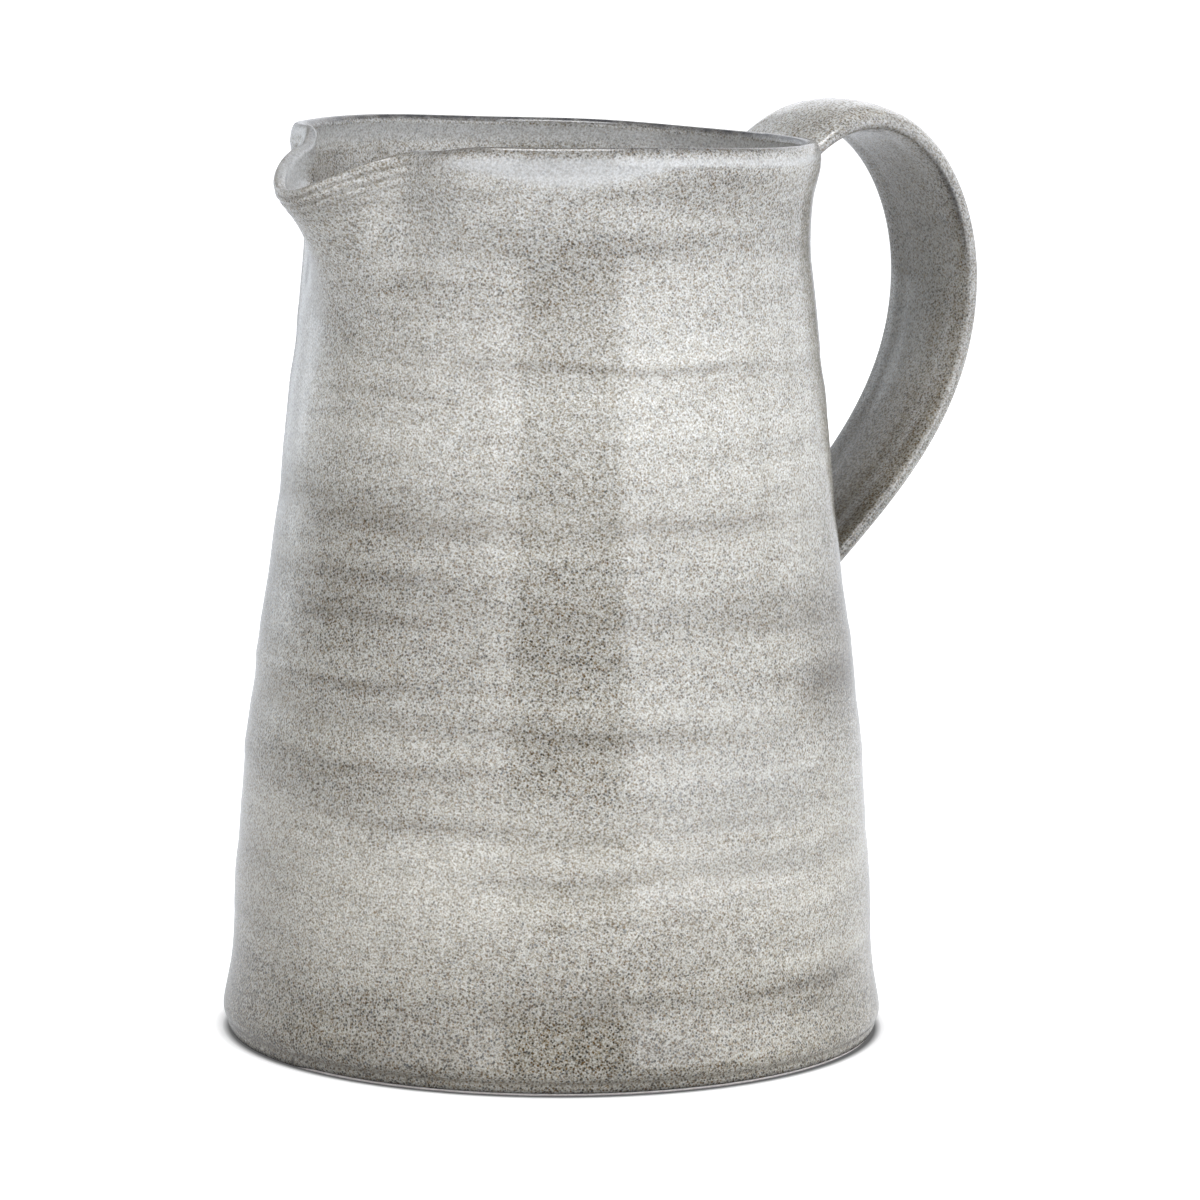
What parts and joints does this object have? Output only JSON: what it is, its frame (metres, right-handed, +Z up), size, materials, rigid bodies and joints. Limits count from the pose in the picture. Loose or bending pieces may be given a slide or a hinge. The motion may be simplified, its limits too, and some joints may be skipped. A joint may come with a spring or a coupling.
{
  "type": "earthenware jug",
  "caption": "Wheel-thrown earthenware jug: tapering body, flared rim with a pulled spout, strap handle luted on with slip, speckled grey glaze inside and out, bare flat base to stand on.",
  "frame": {"origin": "centre of the flat underside, on the surface the jug stands on", "axes": "+Z up along the axis the body was thrown on, +X towards the handle, -X towards the spout"},
  "size_m": [0.1996, 0.162, 0.226],
  "materials": {
    "bare_clay": "matt fired earthenware",
    "fired_slip": "matt fired slip",
    "glaze": "glossy speckled grey glaze"
  },
  "bodies": {
    "root": {"thrown_body": "bare_clay", "handle_strap": "bare_clay", "upper_slip_joint": "fired_slip", "lower_slip_joint": "fired_slip", "outer_glaze": "glaze", "liner_glaze": "glaze", "handle_glaze": "glaze"}
  },
  "joints": []
}
